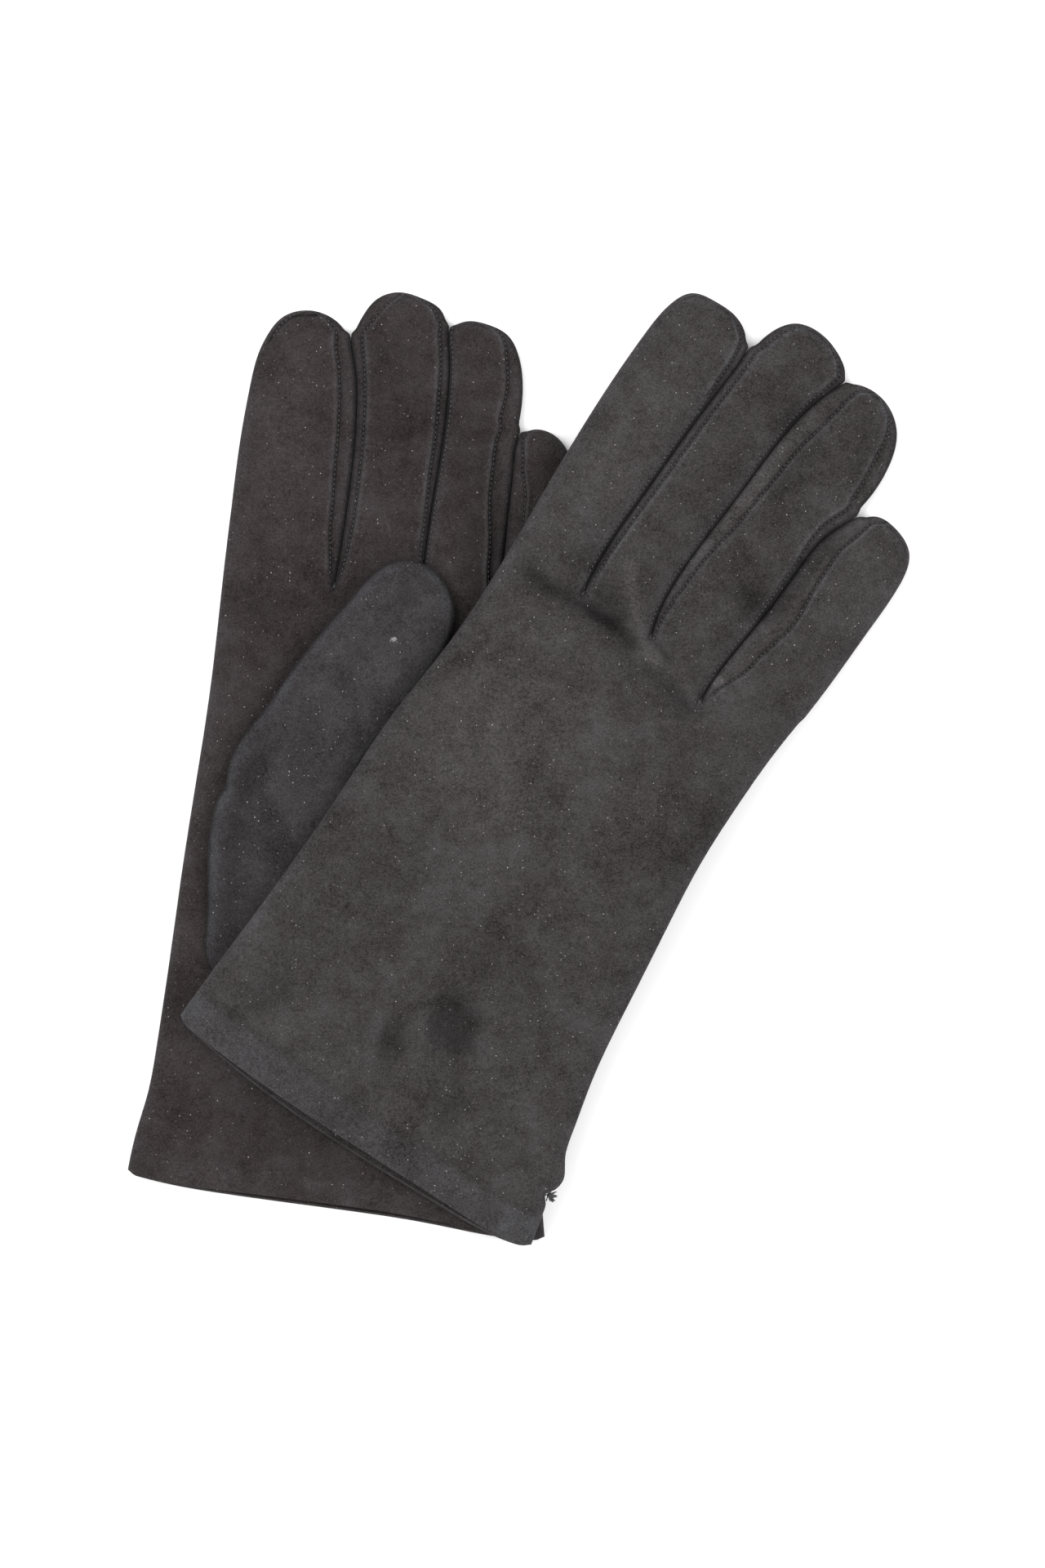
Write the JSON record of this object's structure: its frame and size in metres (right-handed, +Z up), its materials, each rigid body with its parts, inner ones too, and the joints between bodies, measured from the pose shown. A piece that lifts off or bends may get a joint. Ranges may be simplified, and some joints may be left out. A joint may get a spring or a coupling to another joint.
{
  "type": "pair of gloves",
  "caption": "Pair of lined suede dress gloves, laid one across the other, with finger stalls that fold and thumbs that swing.",
  "frame": {"origin": "centre of the pair's footprint, on the surface it lies on", "axes": "+Z up, +Y towards the left glove's fingertips, +X towards the right glove's little finger"},
  "size_m": [0.2157, 0.262, 0.0212],
  "materials": {
    "suede": "matte napped suede, charcoal",
    "fork_suede": "matte napped suede, charcoal",
    "cuff_hem": "matte turned-in suede edge",
    "knit_lining": "fine dark knit",
    "thread": "matt waxed thread"
  },
  "bodies": {
    "left_hand": {"left_hand_back": "suede", "left_hand_palm": "suede", "left_index_middle_crotch": "fork_suede", "left_middle_ring_crotch": "fork_suede", "left_ring_little_crotch": "fork_suede", "left_cuff_hem": "cuff_hem", "left_hand_lining": "knit_lining", "left_thumb_base": "suede"},
    "left_index": {"left_index_back": "suede", "left_index_palm": "suede", "left_index_fork": "fork_suede", "left_index_lining": "knit_lining"},
    "left_middle": {"left_middle_back": "suede", "left_middle_palm": "suede", "left_middle_fork_index_side": "fork_suede", "left_middle_fork_little_side": "fork_suede", "left_middle_lining": "knit_lining"},
    "left_ring": {"left_ring_back": "suede", "left_ring_palm": "suede", "left_ring_fork_index_side": "fork_suede", "left_ring_fork_little_side": "fork_suede", "left_ring_lining": "knit_lining"},
    "left_little": {"left_little_back": "suede", "left_little_palm": "suede", "left_little_fork": "fork_suede", "left_little_lining": "knit_lining"},
    "left_thumb": {"left_thumb_under": "suede", "left_thumb_top": "suede", "left_thumb_lining": "knit_lining"},
    "right_hand": {"right_hand_back": "suede", "right_hand_palm": "suede", "right_index_middle_crotch": "fork_suede", "right_middle_ring_crotch": "fork_suede", "right_ring_little_crotch": "fork_suede", "right_cuff_hem": "cuff_hem", "right_hand_lining": "knit_lining", "right_thumb_base": "suede"},
    "right_index": {"right_index_back": "suede", "right_index_palm": "suede", "right_index_fork": "fork_suede", "right_index_lining": "knit_lining"},
    "right_middle": {"right_middle_back": "suede", "right_middle_palm": "suede", "right_middle_fork_index_side": "fork_suede", "right_middle_fork_little_side": "fork_suede", "right_middle_lining": "knit_lining"},
    "right_ring": {"right_ring_back": "suede", "right_ring_palm": "suede", "right_ring_fork_index_side": "fork_suede", "right_ring_fork_little_side": "fork_suede", "right_ring_lining": "knit_lining"},
    "right_little": {"right_little_back": "suede", "right_little_palm": "suede", "right_little_fork": "fork_suede", "right_little_lining": "knit_lining"},
    "right_thumb": {"right_thumb_under": "suede", "right_thumb_top": "suede", "right_thumb_lining": "knit_lining"}
  },
  "joints": [
    {"name": "right_glove_lift", "type": "slide", "parent": "left_hand", "child": "right_hand", "axis": [0, 0, 1], "range_m": [0, 0.12]},
    {"name": "left_index_fold", "type": "hinge", "parent": "left_hand", "child": "left_index", "pos_m": [-0.06515, 0.068, 0.0077], "axis": [0.993, -0.1179, 0], "range_deg": [0, 70]},
    {"name": "left_middle_fold", "type": "hinge", "parent": "left_hand", "child": "left_middle", "pos_m": [-0.0366, 0.06455, 0.0077], "axis": [0.9924, -0.123, 0], "range_deg": [0, 70]},
    {"name": "left_ring_fold", "type": "hinge", "parent": "left_hand", "child": "left_ring", "pos_m": [-0.0143, 0.0618, 0.0077], "axis": [0.9926, -0.1217, 0], "range_deg": [0, 70]},
    {"name": "left_little_splay", "type": "hinge", "parent": "left_hand", "child": "left_little", "pos_m": [0.016, 0.0581, 0.00375], "axis": [0, 0, -1], "range_deg": [0, 10]},
    {"name": "left_thumb_swing", "type": "hinge", "parent": "left_hand", "child": "left_thumb", "pos_m": [-0.0625, -0.004, 0.01055], "axis": [0, 0, 1], "range_deg": [0, 45]},
    {"name": "right_index_fold", "type": "hinge", "parent": "right_hand", "child": "right_index", "pos_m": [0.0109, 0.06085, 0.0214], "axis": [0.8107, -0.5855, 0], "range_deg": [0, 60]},
    {"name": "right_middle_fold", "type": "hinge", "parent": "right_hand", "child": "right_middle", "pos_m": [0.02925, 0.04765, 0.0214], "axis": [0.8131, -0.5822, 0], "range_deg": [0, 60]},
    {"name": "right_ring_fold", "type": "hinge", "parent": "right_hand", "child": "right_ring", "pos_m": [0.04705, 0.03485, 0.02034], "axis": [0.8108, -0.5853, 0], "range_deg": [0, 60]},
    {"name": "right_little_fold", "type": "hinge", "parent": "right_hand", "child": "right_little", "pos_m": [0.06745, 0.02015, 0.01624], "axis": [0.8117, -0.584, 0], "range_deg": [0, 60]},
    {"name": "right_thumb_swing", "type": "hinge", "parent": "right_hand", "child": "right_thumb", "pos_m": [-0.027, -0.01, 0.01055], "axis": [0, 0, -1], "range_deg": [0, 8]}
  ]
}
